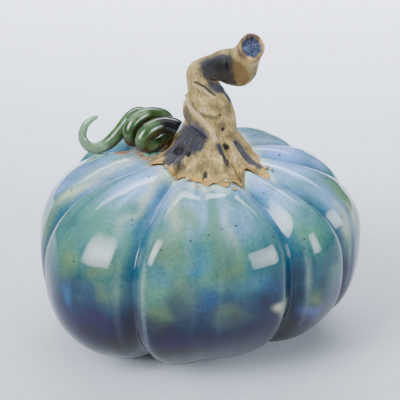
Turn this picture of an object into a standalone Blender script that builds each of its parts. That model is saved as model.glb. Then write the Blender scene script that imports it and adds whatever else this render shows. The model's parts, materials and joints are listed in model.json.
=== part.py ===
"""A handmade ceramic pumpkin: a hollow glazed body with lobes, a twisted clay stem and a curled tendril.

Blender 4.5, in metres, +Z up. The pumpkin stands on z = 0 and its front faces -Y. An azimuth is an
angle round the body's axis: 0 is the front, 90 degrees is +X, and -90 degrees is -X.
"""

import math

import bmesh
import bpy
import numpy as np
from mathutils import Vector

# Body: driving dimensions in metres
BODY_RADIUS = 0.0600
CROWN_HEIGHT = 0.0756
WALL = 0.0040  # at its thinnest, behind the deepest groove
VENT_RADIUS = 0.0040
FOOT_SINK = 0.0022
CROWN_DIP = 0.0035
CROWN_DIP_RADIUS = 0.0240
UPPER_FULLNESS = 0.81

# One row for each groove and the lobe after it. The groove: azimuth at the belly, swing from crown to
# foot, hook underneath, and depth. The lobe: reach from the axis, belly height, and fullness below it.
LOBES = (
    (-152, 0, 0, 0.0040, 1.00, 0.0415, 0.80),
    (-114, -2, 0, 0.0042, 1.00, 0.0375, 0.71),
    (-67, 1, -6, 0.0042, 1.11, 0.0365, 0.83),
    (-23, -1, 2, 0.0046, 0.98, 0.0450, 0.76),
    (3, -3, 0, 0.0008, 0.96, 0.0435, 0.86),
    (37, 2, 7, 0.0046, 1.03, 0.0435, 0.88),
    (64, 11, 0, 0.0042, 1.03, 0.0425, 0.72),
    (99, 10, 0, 0.0040, 0.975, 0.0420, 0.78),
    (130, 15, 0, 0.0040, 0.99, 0.0425, 0.80),
    (170, 0, 0, 0.0040, 1.00, 0.0415, 0.80),
)
GROOVE_SHARPNESS = 0.50
GROOVE_ROUNDING = 0.05

# Where the body's axis stands, so that the middle of the whole width and depth is at the origin
CENTRING = (-0.00056, -0.00056, 0.0)

BODY_STEPS_PER_LOBE = 8
GROOVE_CROWDING = 0.7
BODY_RINGS = 34
CAVITY_STEPS_PER_LOBE = 4
CAVITY_RINGS = 16

# Stem: driving dimensions in metres
JOINT_GAP = 0.0008
SKIRT_CENTRE_X = 0.0042
SKIRT_RADIUS = 0.0205
SKIRT_RIM = 0.0007
STEM_STEPS = 72
STEM_TWIST_DEG = -110
CUT_FACE_RECESS = 0.0006

# Where the skirt reaches further or less than its radius: azimuth, reach in millimetres, half width
SKIRT_TOES = (
    (0, 4.5, 30),
    (-66, 5.0, 8),
    (-40, 1.5, 7),
    (-25, 2.5, 6),
    (-12, 3.5, 5),
    (-2, 4.0, 5),
    (11, 5.5, 6),
    (25, 4.5, 6),
    (53, 7.0, 6),
    (105, -4.5, 30),
    (150, 2.0, 10),
    (-170, 1.5, 10),
    (-140, 1.5, 10),
    (-100, -5.5, 22),
)

# Stem's middle line: x, y, z and radius, all in millimetres
STEM_LINE_MM = (
    (4.6, 0.0, 82.5, 9.9),
    (4.8, 0.0, 86.5, 9.2),
    (4.0, 0.0, 90.5, 8.9),
    (3.2, 0.0, 94.5, 8.0),
    (2.6, 0.2, 98.0, 6.4),
    (2.0, 0.8, 101.4, 5.7),
    (3.4, 1.2, 103.8, 5.6),
    (6.8, 1.0, 105.2, 6.0),
    (11.0, -0.2, 106.6, 6.6),
    (15.0, -2.8, 107.8, 6.2),
    (17.2, -6.6, 112.8, 5.2),
    (18.9, -11.0, 117.8, 4.7),
)

# Where the stem swells or is hollowed out of the round: azimuth, share of the line, height in
# millimetres, half width in degrees and half length as a share: a knuckle outside the bend, the crook
# inside it, a hollow in the front of the bent part, and a keel under its elbow
STEM_SWELLS = (
    (-92, 0.50, 1.3, 42, 0.05),
    (92, 0.56, -3.0, 55, 0.10),
    (8, 0.66, -2.6, 40, 0.10),
    (95, 0.82, 0.8, 45, 0.05),
)

# The end is broken off at a slant: the direction that its face looks in
CUT_FACE_LOOKS = (0.22, -0.82, 0.53)

# A fold that climbs the trunk and ends in a thorn: azimuth and share of the line at foot and thorn
FOLD_FOOT = (5, 0.0)
FOLD_THORN = (-88, 0.24)
FOLD_HEIGHT_MM = 1.3
RIDGE_SHARE = 0.055
BEND_LIMIT = 0.72
TENDRIL_STEPS = 12

# Tendril's middle line from the stem to the hooked tip: x, y, z and radius, all in millimetres
TENDRIL_MM = (
    (-7.3, 1.5, 81.8, 3.1),
    (-9.2, 2.0, 82.8, 3.2),
    (-12.2, 2.2, 83.2, 3.2),
    (-15.4, 1.0, 83.0, 3.1),
    (-18.4, -1.0, 81.8, 2.85),
    (-20.5, -2.4, 79.4, 2.65),
    (-20.2, -2.2, 76.9, 2.55),
    (-17.7, 0.2, 75.6, 2.5),
    (-14.4, 4.0, 75.9, 2.6),
    (-11.8, 7.6, 77.2, 2.65),
    (-11.0, 10.2, 80.2, 2.75),
    (-12.8, 10.9, 83.0, 2.75),
    (-16.0, 9.6, 84.5, 2.75),
    (-19.4, 7.8, 85.0, 2.7),
    (-22.4, 5.8, 84.1, 2.7),
    (-24.6, 4.0, 82.0, 2.7),
    (-25.4, 3.4, 79.0, 2.7),
    (-24.6, 4.8, 76.2, 2.7),
    (-22.6, 8.2, 75.2, 2.65),
    (-20.4, 12.0, 76.2, 2.65),
    (-19.6, 14.6, 79.0, 2.65),
    (-20.6, 14.8, 82.0, 2.65),
    (-22.8, 13.6, 83.2, 2.65),
    (-25.6, 11.2, 82.2, 2.65),
    (-28.0, 9.4, 79.6, 2.65),
    (-30.2, 7.8, 77.2, 2.65),
    (-32.6, 6.4, 75.0, 2.55),
    (-35.0, 5.4, 73.6, 2.4),
    (-37.6, 4.6, 72.9, 2.2),
    (-40.2, 4.4, 73.2, 2.0),
    (-42.2, 4.6, 74.8, 1.85),
    (-43.2, 5.0, 77.2, 1.7),
    (-42.8, 5.0, 80.0, 1.55),
    (-41.6, 5.0, 82.4, 1.35),
    (-39.6, 5.0, 84.2, 1.05),
    (-37.6, 5.0, 85.2, 0.7),
)

MM = 0.001


def smoothstep(value):
    """0 below 0, 1 above 1, and a smooth rise between."""
    value = min(max(value, 0.0), 1.0)
    return value * value * (3 - 2 * value)


def groove_azimuth(index, polar):
    """The azimuth of a groove at a polar angle, counted on round the body past the last groove."""
    turns, place = divmod(index, len(LOBES))
    belly, swing, hook = LOBES[place][:3]
    downward = 2 * polar / math.pi - 1
    azimuth = belly + swing * downward + hook * max(downward, 0.0) ** 2
    return math.radians(azimuth) + 2 * math.pi * turns


def lobe_at(azimuth, polar):
    """The lobe that an azimuth falls in, and how far across that lobe it is, from 0 to 1."""
    index = 0
    first = groove_azimuth(0, polar)
    azimuth = first + (azimuth - first) % (2 * math.pi)
    while groove_azimuth(index + 1, polar) <= azimuth:
        index += 1
    left = groove_azimuth(index, polar)
    right = groove_azimuth(index + 1, polar)
    return index, (azimuth - left) / (right - left)


def lobe_value(column, index, across):
    """A lobe's own value at its middle, mixed smoothly with its neighbours' towards its sides."""
    start = index if across >= 0.5 else index - 1
    share = smoothstep(across - 0.5 if across >= 0.5 else across + 0.5)
    left, right = (LOBES[i % len(LOBES)][column] for i in (start, start + 1))
    return left + (right - left) * share


def bulge(across):
    """A lobe's rounding across its width: 0 in the grooves and 1 on the crest."""
    floor = GROOVE_ROUNDING**GROOVE_SHARPNESS
    top = (1 + GROOVE_ROUNDING**2) ** (GROOVE_SHARPNESS / 2)
    here = (math.sin(math.pi * across) ** 2 + GROOVE_ROUNDING**2) ** (GROOVE_SHARPNESS / 2)
    return (here - floor) / (top - floor)


def body_point(azimuth, polar, inset=0.0):
    """A point of the body's outside, or of the cavity that an inset gives. polar is 0 at the crown.

    The grooves are pressed into the outside only, so the cavity runs evenly behind the deepest of them.
    """
    index, across = lobe_at(azimuth, polar)
    reach, belly, lower_fullness = (lobe_value(column, index, across) for column in (4, 5, 6))
    above = polar < math.pi / 2
    fullness = UPPER_FULLNESS if above else lower_fullness
    rise = CROWN_HEIGHT - belly if above else belly + FOOT_SINK
    round_share = math.sin(polar) ** fullness if 0 < polar < math.pi else 0.0
    rise_share = math.copysign(abs(math.cos(polar)) ** fullness, math.cos(polar))
    radius = (BODY_RADIUS * reach - inset) * round_share
    height = belly + (rise - inset) * rise_share

    left, right = (LOBES[i % len(LOBES)][3] for i in (index, index + 1))
    depth = (left + (right - left) * smoothstep(across)) * (1 - bulge(across))
    if inset > 0:
        depth = max(row[3] for row in LOBES)
    depth *= smoothstep(radius / (0.6 * BODY_RADIUS))
    slope = Vector((math.sin(polar) / BODY_RADIUS, math.cos(polar) / rise)).normalized()
    radius -= depth * slope.x
    height -= depth * slope.y

    if above:
        height -= CROWN_DIP * math.exp(-((radius / CROWN_DIP_RADIUS) ** 2))
    height = max(height, inset, 0.0)
    return Vector((radius * math.sin(azimuth), -radius * math.cos(azimuth), height))


def body_mesh(name, steps_per_lobe, rings, inset):
    """A sphere whose vertices are moved onto the body's form, with its meridians drawn to the grooves."""
    bm = bmesh.new()
    bmesh.ops.create_uvsphere(
        bm, u_segments=len(LOBES) * steps_per_lobe, v_segments=rings, radius=1
    )
    for vertex in bm.verts:
        polar = math.acos(min(max(vertex.co.z, -1.0), 1.0))
        lobes_round = math.atan2(vertex.co.y, vertex.co.x) / (2 * math.pi) % 1 * len(LOBES)
        lobe = math.floor(lobes_round)
        across = lobes_round - lobe
        across -= GROOVE_CROWDING * math.sin(2 * math.pi * across) / (2 * math.pi)
        left, right = (groove_azimuth(i, polar) for i in (lobe, lobe + 1))
        vertex.co = body_point(left + (right - left) * across, polar, inset)
    mesh = bpy.data.meshes.new(name)
    bm.to_mesh(mesh)
    bm.free()
    return mesh


def material(name, colour, roughness):
    """A plain Principled finish with no metal in it."""
    made = bpy.data.materials.new(name)
    made.use_nodes = True
    shader = made.node_tree.nodes["Principled BSDF"]
    shader.inputs["Base Color"].default_value = (*colour, 1)
    shader.inputs["Roughness"].default_value = roughness
    shader.inputs["Metallic"].default_value = 0.0
    return made


def add_object(name, data, collection, centre, finish=None):
    """Links a new object to its collection and parents it to the pumpkin's centre, shaded smooth."""
    made = bpy.data.objects.new(name, data)
    made.parent = centre
    collection.objects.link(made)
    if finish is not None:
        data.materials.append(finish)
    data.shade_smooth()
    return made


def cut(target, cutter):
    """Takes the cutter's shape out of the target, and leaves the cutter as a helper."""
    cutter.hide_render = True
    cutter.display_type = "WIRE"
    boolean = target.modifiers.new(cutter.name, "BOOLEAN")
    boolean.operation = "DIFFERENCE"
    boolean.solver = "EXACT"
    boolean.object = cutter


def make_body(parts, cutters, centre):
    """The hollow body, with its cavity and the vent hole through the foot."""
    glaze = material("blue_green_glaze", (0.27, 0.46, 0.50), 0.08)
    outside = body_mesh("body", BODY_STEPS_PER_LOBE, BODY_RINGS, 0.0)
    body = add_object("body", outside, parts, centre, glaze)
    cavity = body_mesh("cavity", CAVITY_STEPS_PER_LOBE, CAVITY_RINGS, WALL)
    cut(body, add_object("cavity", cavity, cutters, centre))

    bm = bmesh.new()
    bmesh.ops.create_cone(
        bm, cap_ends=True, segments=24, radius1=VENT_RADIUS, radius2=VENT_RADIUS, depth=4 * WALL
    )
    vent = bpy.data.meshes.new("vent")
    bm.to_mesh(vent)
    bm.free()
    cut(body, add_object("vent", vent, cutters, centre))
    return body


def smooth_line(points, steps_per_span):
    """Points along a Catmull-Rom curve through the given rows, which may hold more than x, y and z."""
    rows = np.array(points, float)
    rows = np.vstack([2 * rows[0] - rows[1], rows, 2 * rows[-1] - rows[-2]])
    line = []
    for before, start, end, after in zip(rows, rows[1:], rows[2:], rows[3:]):
        for step in range(steps_per_span):
            t = step / steps_per_span
            line.append(
                0.5
                * (
                    2 * start
                    + (end - before) * t
                    + (2 * before - 5 * start + 4 * end - after) * t**2
                    + (3 * start - before - 3 * end + after) * t**3
                )
            )
    line.append(rows[-2])
    return np.array(line)


def frames_along(line):
    """At each point of a line: two sideways directions that never spin, and the bend towards its inside."""
    tangents = np.gradient(line[:, :3], axis=0)
    steps = np.linalg.norm(tangents, axis=1, keepdims=True)
    tangents /= steps
    bends = np.gradient(tangents, axis=0) / steps
    right, front = Vector((1, 0, 0)), Vector((0, -1, 0))
    previous = Vector((0, 0, 1))
    frames = []
    for tangent, bend in zip(tangents, bends):
        turn = previous.rotation_difference(Vector(tangent))
        right, front = turn @ right, turn @ front
        previous = Vector(tangent)
        frames.append((right, front, Vector(bend)))
    return frames


def ring_point(centre, frame, azimuth, reach):
    """A point beside a line's centre, kept short of where the inside of a bend would fold over itself."""
    right, front, bend = frame
    direction = math.sin(azimuth) * right + math.cos(azimuth) * front
    inward = bend.dot(direction)
    if inward > 0:
        reach = min(reach, BEND_LIMIT / inward)
    return centre + reach * direction


def skin(name, rings, middles):
    """A sphere's grid laid over rings of points and their two end points, so that it is one closed skin."""
    steps = len(rings[0])
    bm = bmesh.new()
    bmesh.ops.create_uvsphere(bm, u_segments=steps, v_segments=len(rings) + 1, radius=1)
    for vertex in bm.verts:
        ring = round((1 - math.acos(min(max(vertex.co.z, -1.0), 1.0)) / math.pi) * (len(rings) + 1))
        step = round(math.atan2(vertex.co.y, vertex.co.x) / (2 * math.pi) * steps) % steps
        if ring == 0:
            vertex.co = middles[0]
        elif ring == len(rings) + 1:
            vertex.co = middles[1]
        else:
            vertex.co = rings[ring - 1][step]
    bmesh.ops.recalc_face_normals(bm, faces=bm.faces)
    mesh = bpy.data.meshes.new(name)
    bm.to_mesh(mesh)
    bm.free()
    return mesh


def ridge(azimuth):
    """The trunk's long ridges, from -1 in a furrow to 1 on a crest."""
    return 0.6 * math.cos(4 * azimuth + 0.8) + 0.4 * math.cos(7 * azimuth - 1.1)


def angle_between(azimuth, centre_deg):
    """The turn from one azimuth to another, in degrees from -180 to 180."""
    return (math.degrees(azimuth) - centre_deg + 180) % 360 - 180


def skirt_reach(azimuth):
    """How far the skirt's ragged edge reaches from its own centre."""
    reach = SKIRT_RADIUS
    for centre, extra, width in SKIRT_TOES:
        reach += extra * MM * math.exp(-((angle_between(azimuth, centre) / width) ** 2))
    return reach


def on_body(x, y):
    """The point of the body's crown at x and y, raised by the gap of the joint."""
    azimuth = math.atan2(x, -y)
    radius = math.hypot(x, y)
    polar = 0.0
    step = 0.4
    while step > 1e-7:
        flat = body_point(azimuth, polar + step, -JOINT_GAP)
        if math.hypot(flat.x, flat.y) < radius:
            polar += step
        else:
            step /= 2
    return Vector((x, y, body_point(azimuth, polar, -JOINT_GAP).z))


def fold(azimuth, along):
    """The height of the climbing fold: a crest with a hollow beside it, and a thorn at its end."""
    share = (along - FOLD_FOOT[1]) / (FOLD_THORN[1] - FOLD_FOOT[1])
    centre = FOLD_FOOT[0] + (FOLD_THORN[0] - FOLD_FOOT[0]) * min(share, 1.0)
    past = max(share - 1.0, 0.0)
    turn = angle_between(azimuth, centre)
    crest = math.exp(-((turn / 17) ** 2)) - 0.9 * math.exp(-(((turn + 40) / 22) ** 2))
    return FOLD_HEIGHT_MM * MM * crest * math.exp(-((past / 0.25) ** 2))


def swell(azimuth, along):
    """How far the stem stands out of the round at its knuckle, crook, hollow and keel."""
    height = 0.0
    for centre, place, rise, width, length in STEM_SWELLS:
        turn = angle_between(azimuth, centre) / width
        height += rise * MM * math.exp(-(turn**2) - ((along - place) / length) ** 2)
    return height


def slanted(point, centre, axis, along):
    """A point of a ring, moved along the line so that the rings lean towards the slant of the cut face."""
    looks = Vector(CUT_FACE_LOOKS).normalized()
    lean = smoothstep((along - 0.8) / 0.2)
    return point - axis * (lean * (point - centre).dot(looks) / axis.dot(looks))


def stem_rings(azimuths):
    """The stem's rings of points, from the middle of its underside, out, up and over to the cut face."""
    skirt_centre = Vector((SKIRT_CENTRE_X, 0, 0))
    rim_flat = [
        skirt_centre + skirt_reach(a) * Vector((math.sin(a), -math.cos(a), 0)) for a in azimuths
    ]
    rings = []
    for share in (0.2, 0.4, 0.6, 0.8, 0.94, 1.0):
        ring = [skirt_centre.lerp(p, share) for p in rim_flat]
        rings.append([on_body(p.x, p.y) for p in ring])
    rim = [p + Vector((0, 0, SKIRT_RIM)) for p in rings[-1]]
    rings.append(rim)

    line = smooth_line(STEM_LINE_MM, 2) * MM
    frames = frames_along(line)
    line = line.tolist()
    trunk = []
    for place, (row, frame) in enumerate(zip(line, frames)):
        along = place / (len(line) - 1)
        axis = frame[1].cross(frame[0])
        twist = math.radians(STEM_TWIST_DEG * along)
        depth = RIDGE_SHARE * (1 - 0.5 * along)
        ring = []
        for a in azimuths:
            reach = row[3] * (1 + depth * ridge(a - twist)) + fold(a, along) + swell(a, along)
            point = ring_point(Vector(row[:3]), frame, a, reach)
            ring.append(slanted(point, Vector(row[:3]), axis, along))
        trunk.append(ring)
    for share in (0.12, 0.26, 0.42, 0.58, 0.74, 0.88):
        ring = []
        for start, end in zip(rim, trunk[0]):
            flat = start.lerp(end, share)
            climb = share**1.7
            ring.append(Vector((flat.x, flat.y, start.z + (end.z - start.z) * climb)))
        rings.append(ring)
    rings += trunk
    end = Vector(line[-1][:3])
    rings.append([end.lerp(p, 0.78) for p in trunk[-1]])
    rings.append([end.lerp(p, 0.5) - CUT_FACE_RECESS * axis for p in trunk[-1]])
    return rings, (on_body(SKIRT_CENTRE_X, 0.0), end - CUT_FACE_RECESS * axis)


def make_stem(parts, centre):
    """The stem: a ragged skirt on the crown, a twisted trunk, and a bent top with a sunk end face."""
    azimuths = [2 * math.pi * i / STEM_STEPS for i in range(STEM_STEPS)]
    mesh = skin("stem", *stem_rings(azimuths))
    clay = material("bare_clay", (0.55, 0.43, 0.27), 0.7)
    return add_object("stem", mesh, parts, centre, clay)


def make_tendril(parts, centre):
    """The tendril: a round strand that coils twice and tapers to its hooked end."""
    line = smooth_line(TENDRIL_MM, 2) * MM
    frames = frames_along(line)
    azimuths = [2 * math.pi * i / TENDRIL_STEPS for i in range(TENDRIL_STEPS)]
    rings = [
        [ring_point(Vector(row[:3]), frame, a, row[3]) for a in azimuths]
        for row, frame in zip(line.tolist(), frames)
    ]
    root, tip = (Vector(row[:3]) for row in (line[0].tolist(), line[-1].tolist()))
    rings.insert(0, [root.lerp(p, 0.6) for p in rings[0]])
    mesh = skin("tendril", rings, (root, tip + (tip - Vector(line[-2].tolist()[:3])) * 0.4))
    glaze = material("green_glaze", (0.16, 0.22, 0.10), 0.08)
    return add_object("tendril", mesh, parts, centre, glaze)


def main():
    for old in list(bpy.data.objects):
        bpy.data.objects.remove(old)
    parts = bpy.data.collections.new("ceramic_pumpkin")
    cutters = bpy.data.collections.new("cutters")
    for collection in (parts, cutters):
        bpy.context.scene.collection.children.link(collection)
    centre = bpy.data.objects.new("centre", None)
    centre.location = CENTRING
    parts.objects.link(centre)
    make_body(parts, cutters, centre)
    make_stem(parts, centre)
    make_tendril(parts, centre)


if __name__ == "__main__":
    main()
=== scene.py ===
"""The looks of a handmade pumpkin: poured blue and green glaze, a bare clay stem and a glazed tendril.

Blender 4.5, in metres, +Z up. The pumpkin stands on z = 0 and its front faces -Y. An azimuth is an
angle round the body's axis: 0 is the front, 90 degrees is +X, and -90 degrees is -X.
"""

import json
import math
import random

import bpy
import numpy as np
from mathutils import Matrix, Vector, noise

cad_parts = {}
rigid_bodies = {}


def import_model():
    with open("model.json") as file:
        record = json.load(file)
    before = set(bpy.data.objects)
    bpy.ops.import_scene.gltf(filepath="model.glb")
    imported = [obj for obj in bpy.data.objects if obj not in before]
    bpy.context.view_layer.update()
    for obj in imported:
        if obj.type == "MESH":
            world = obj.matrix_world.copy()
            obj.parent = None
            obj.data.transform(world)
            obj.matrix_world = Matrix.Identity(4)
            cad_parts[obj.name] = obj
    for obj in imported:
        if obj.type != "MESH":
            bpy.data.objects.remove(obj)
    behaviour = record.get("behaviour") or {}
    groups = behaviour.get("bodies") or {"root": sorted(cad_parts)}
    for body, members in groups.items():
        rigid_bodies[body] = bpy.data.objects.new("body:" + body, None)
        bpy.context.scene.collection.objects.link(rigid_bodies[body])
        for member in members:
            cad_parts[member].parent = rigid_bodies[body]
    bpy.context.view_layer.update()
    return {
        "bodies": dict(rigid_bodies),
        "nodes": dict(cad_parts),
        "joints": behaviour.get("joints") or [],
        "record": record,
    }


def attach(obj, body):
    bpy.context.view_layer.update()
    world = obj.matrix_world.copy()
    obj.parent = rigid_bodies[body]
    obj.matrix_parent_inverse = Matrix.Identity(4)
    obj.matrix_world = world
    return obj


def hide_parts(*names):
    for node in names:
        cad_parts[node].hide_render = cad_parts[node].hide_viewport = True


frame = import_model()

MM = 0.001

# Body: driving dimensions in metres
BODY_RADIUS = 0.0600
CROWN_HEIGHT = 0.0756
VENT_RADIUS = 0.0040
FOOT_SINK = 0.0022
CROWN_DIP = 0.0035
CROWN_DIP_RADIUS = 0.0240
UPPER_FULLNESS = 0.81

# One row for each groove and the lobe after it. The groove: azimuth at the belly, swing from crown to
# foot, hook underneath, and depth. The lobe: reach from the axis, belly height, and fullness below it.
LOBES = (
    (-152, 0, 0, 0.0040, 1.00, 0.0415, 0.80),
    (-114, -2, 0, 0.0042, 1.00, 0.0375, 0.71),
    (-67, 1, -6, 0.0042, 1.11, 0.0365, 0.83),
    (-23, -1, 2, 0.0046, 0.98, 0.0450, 0.76),
    (3, -3, 0, 0.0008, 0.96, 0.0435, 0.86),
    (37, 2, 7, 0.0046, 1.03, 0.0435, 0.88),
    (64, 11, 0, 0.0042, 1.03, 0.0425, 0.72),
    (99, 10, 0, 0.0040, 0.975, 0.0420, 0.78),
    (130, 15, 0, 0.0040, 0.99, 0.0425, 0.80),
    (170, 0, 0, 0.0040, 1.00, 0.0415, 0.80),
)
GROOVE_SHARPNESS = 0.50
GROOVE_ROUNDING = 0.17  # rounder than the solid's, as glaze fills a groove's bottom

# Where the body's axis stands, so that the middle of the whole width and depth is at the origin
CENTRING = (-0.00056, -0.00056, 0.0)

GROOVE_CROWDING = 0.7

# Stem: driving dimensions in metres
JOINT_GAP = 0.0008
SKIRT_CENTRE_X = 0.0042
SKIRT_RADIUS = 0.0205
SKIRT_RIM = 0.0007
STEM_TWIST_DEG = -110

# Where the skirt reaches further or less than its radius: azimuth, reach in millimetres, half width
SKIRT_TOES = (
    (0, 4.5, 30),
    (-66, 5.0, 8),
    (-40, 1.5, 7),
    (-25, 2.5, 6),
    (-12, 3.5, 5),
    (-2, 4.0, 5),
    (11, 5.5, 6),
    (25, 4.5, 6),
    (53, 7.0, 6),
    (105, -4.5, 30),
    (150, 2.0, 10),
    (-170, 1.5, 10),
    (-140, 1.5, 10),
    (-100, -5.5, 22),
)

# Stem's middle line: x, y, z and radius, all in millimetres
STEM_LINE_MM = (
    (4.6, 0.0, 82.5, 9.9),
    (4.8, 0.0, 86.5, 9.2),
    (4.0, 0.0, 90.5, 8.9),
    (3.2, 0.0, 94.5, 8.0),
    (2.6, 0.2, 98.0, 6.4),
    (2.0, 0.8, 101.4, 5.7),
    (3.4, 1.2, 103.8, 5.6),
    (6.8, 1.0, 105.2, 6.0),
    (11.0, -0.2, 106.6, 6.6),
    (15.0, -2.8, 107.8, 6.2),
    (17.2, -6.6, 112.8, 5.2),
    (18.9, -11.0, 117.8, 4.7),
)

# Where the stem swells or is hollowed out of the round: azimuth, share of the line, height in
# millimetres, half width in degrees and half length as a share: a knuckle outside the bend, the crook
# inside it, a hollow in the front of the bent part, and a keel under its elbow
STEM_SWELLS = (
    (-92, 0.50, 1.3, 42, 0.05),
    (92, 0.56, -3.0, 55, 0.10),
    (8, 0.66, -2.6, 40, 0.10),
    (95, 0.82, 0.8, 45, 0.05),
)

# The end is broken off at a slant: the direction that its face looks in
CUT_FACE_LOOKS = (0.22, -0.82, 0.53)

# A fold that climbs the trunk and ends in a thorn: azimuth and share of the line at foot and thorn
FOLD_FOOT = (5, 0.0)
FOLD_THORN = (-88, 0.24)
FOLD_HEIGHT_MM = 1.3
RIDGE_SHARE = 0.055
BEND_LIMIT = 0.72

# Tendril's middle line from the stem to the hooked tip: x, y, z and radius, all in millimetres
TENDRIL_MM = (
    (-7.3, 1.5, 81.8, 3.1),
    (-9.2, 2.0, 82.8, 3.2),
    (-12.2, 2.2, 83.2, 3.2),
    (-15.4, 1.0, 83.0, 3.1),
    (-18.4, -1.0, 81.8, 2.85),
    (-20.5, -2.4, 79.4, 2.65),
    (-20.2, -2.2, 76.9, 2.55),
    (-17.7, 0.2, 75.6, 2.5),
    (-14.4, 4.0, 75.9, 2.6),
    (-11.8, 7.6, 77.2, 2.65),
    (-11.0, 10.2, 80.2, 2.75),
    (-12.8, 10.9, 83.0, 2.75),
    (-16.0, 9.6, 84.5, 2.75),
    (-19.4, 7.8, 85.0, 2.7),
    (-22.4, 5.8, 84.1, 2.7),
    (-24.6, 4.0, 82.0, 2.7),
    (-25.4, 3.4, 79.0, 2.7),
    (-24.6, 4.8, 76.2, 2.7),
    (-22.6, 8.2, 75.2, 2.65),
    (-20.4, 12.0, 76.2, 2.65),
    (-19.6, 14.6, 79.0, 2.65),
    (-20.6, 14.8, 82.0, 2.65),
    (-22.8, 13.6, 83.2, 2.65),
    (-25.6, 11.2, 82.2, 2.65),
    (-28.0, 9.4, 79.6, 2.65),
    (-30.2, 7.8, 77.2, 2.65),
    (-32.6, 6.4, 75.0, 2.55),
    (-35.0, 5.4, 73.6, 2.4),
    (-37.6, 4.6, 72.9, 2.2),
    (-40.2, 4.4, 73.2, 2.0),
    (-42.2, 4.6, 74.8, 1.85),
    (-43.2, 5.0, 77.2, 1.7),
    (-42.8, 5.0, 80.0, 1.55),
    (-41.6, 5.0, 82.4, 1.35),
    (-39.6, 5.0, 84.2, 1.05),
    (-37.6, 5.0, 85.2, 0.7),
)



def smoothstep(value):
    """0 below 0, 1 above 1, and a smooth rise between."""
    value = min(max(value, 0.0), 1.0)
    return value * value * (3 - 2 * value)


def groove_azimuth(index, polar):
    """The azimuth of a groove at a polar angle, counted on round the body past the last groove."""
    turns, place = divmod(index, len(LOBES))
    belly, swing, hook = LOBES[place][:3]
    downward = 2 * polar / math.pi - 1
    azimuth = belly + swing * downward + hook * max(downward, 0.0) ** 2
    return math.radians(azimuth) + 2 * math.pi * turns


def lobe_at(azimuth, polar):
    """The lobe that an azimuth falls in, and how far across that lobe it is, from 0 to 1."""
    index = 0
    first = groove_azimuth(0, polar)
    azimuth = first + (azimuth - first) % (2 * math.pi)
    while groove_azimuth(index + 1, polar) <= azimuth:
        index += 1
    left = groove_azimuth(index, polar)
    right = groove_azimuth(index + 1, polar)
    return index, (azimuth - left) / (right - left)


def lobe_value(column, index, across):
    """A lobe's own value at its middle, mixed smoothly with its neighbours' towards its sides."""
    start = index if across >= 0.5 else index - 1
    share = smoothstep(across - 0.5 if across >= 0.5 else across + 0.5)
    left, right = (LOBES[i % len(LOBES)][column] for i in (start, start + 1))
    return left + (right - left) * share


def bulge(across):
    """A lobe's rounding across its width: 0 in the grooves and 1 on the crest."""
    floor = GROOVE_ROUNDING**GROOVE_SHARPNESS
    top = (1 + GROOVE_ROUNDING**2) ** (GROOVE_SHARPNESS / 2)
    here = (math.sin(math.pi * across) ** 2 + GROOVE_ROUNDING**2) ** (GROOVE_SHARPNESS / 2)
    return (here - floor) / (top - floor)


def body_point(azimuth, polar, inset=0.0):
    """A point of the body's outside, or of the cavity that an inset gives. polar is 0 at the crown.

    The grooves are pressed into the outside only, so the cavity runs evenly behind the deepest of them.
    """
    index, across = lobe_at(azimuth, polar)
    reach, belly, lower_fullness = (lobe_value(column, index, across) for column in (4, 5, 6))
    above = polar < math.pi / 2
    fullness = UPPER_FULLNESS if above else lower_fullness
    rise = CROWN_HEIGHT - belly if above else belly + FOOT_SINK
    round_share = math.sin(polar) ** fullness if 0 < polar < math.pi else 0.0
    rise_share = math.copysign(abs(math.cos(polar)) ** fullness, math.cos(polar))
    radius = (BODY_RADIUS * reach - inset) * round_share
    height = belly + (rise - inset) * rise_share

    left, right = (LOBES[i % len(LOBES)][3] for i in (index, index + 1))
    depth = (left + (right - left) * smoothstep(across)) * (1 - bulge(across))
    if inset > 0:
        depth = max(row[3] for row in LOBES)
    depth *= smoothstep(radius / (0.6 * BODY_RADIUS))
    slope = Vector((math.sin(polar) / BODY_RADIUS, math.cos(polar) / rise)).normalized()
    radius -= depth * slope.x
    height -= depth * slope.y

    if above:
        height -= CROWN_DIP * math.exp(-((radius / CROWN_DIP_RADIUS) ** 2))
    height = max(height, inset, 0.0)
    return Vector((radius * math.sin(azimuth), -radius * math.cos(azimuth), height))


def smooth_line(points, steps_per_span):
    """Points along a Catmull-Rom curve through the given rows, which may hold more than x, y and z."""
    rows = np.array(points, float)
    rows = np.vstack([2 * rows[0] - rows[1], rows, 2 * rows[-1] - rows[-2]])
    line = []
    for before, start, end, after in zip(rows, rows[1:], rows[2:], rows[3:]):
        for step in range(steps_per_span):
            t = step / steps_per_span
            line.append(
                0.5
                * (
                    2 * start
                    + (end - before) * t
                    + (2 * before - 5 * start + 4 * end - after) * t**2
                    + (3 * start - before - 3 * end + after) * t**3
                )
            )
    line.append(rows[-2])
    return np.array(line)


def frames_along(line):
    """At each point of a line: two sideways directions that never spin, and the bend towards its inside."""
    tangents = np.gradient(line[:, :3], axis=0)
    steps = np.linalg.norm(tangents, axis=1, keepdims=True)
    tangents /= steps
    bends = np.gradient(tangents, axis=0) / steps
    right, front = Vector((1, 0, 0)), Vector((0, -1, 0))
    previous = Vector((0, 0, 1))
    frames = []
    for tangent, bend in zip(tangents, bends):
        turn = previous.rotation_difference(Vector(tangent))
        right, front = turn @ right, turn @ front
        previous = Vector(tangent)
        frames.append((right, front, Vector(bend)))
    return frames


def ring_point(centre, frame, azimuth, reach):
    """A point beside a line's centre, kept short of where the inside of a bend would fold over itself."""
    right, front, bend = frame
    direction = math.sin(azimuth) * right + math.cos(azimuth) * front
    inward = bend.dot(direction)
    if inward > 0:
        reach = min(reach, BEND_LIMIT / inward)
    return centre + reach * direction


def ridge(azimuth):
    """The trunk's long ridges, from -1 in a furrow to 1 on a crest."""
    return 0.6 * math.cos(4 * azimuth + 0.8) + 0.4 * math.cos(7 * azimuth - 1.1)


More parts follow.
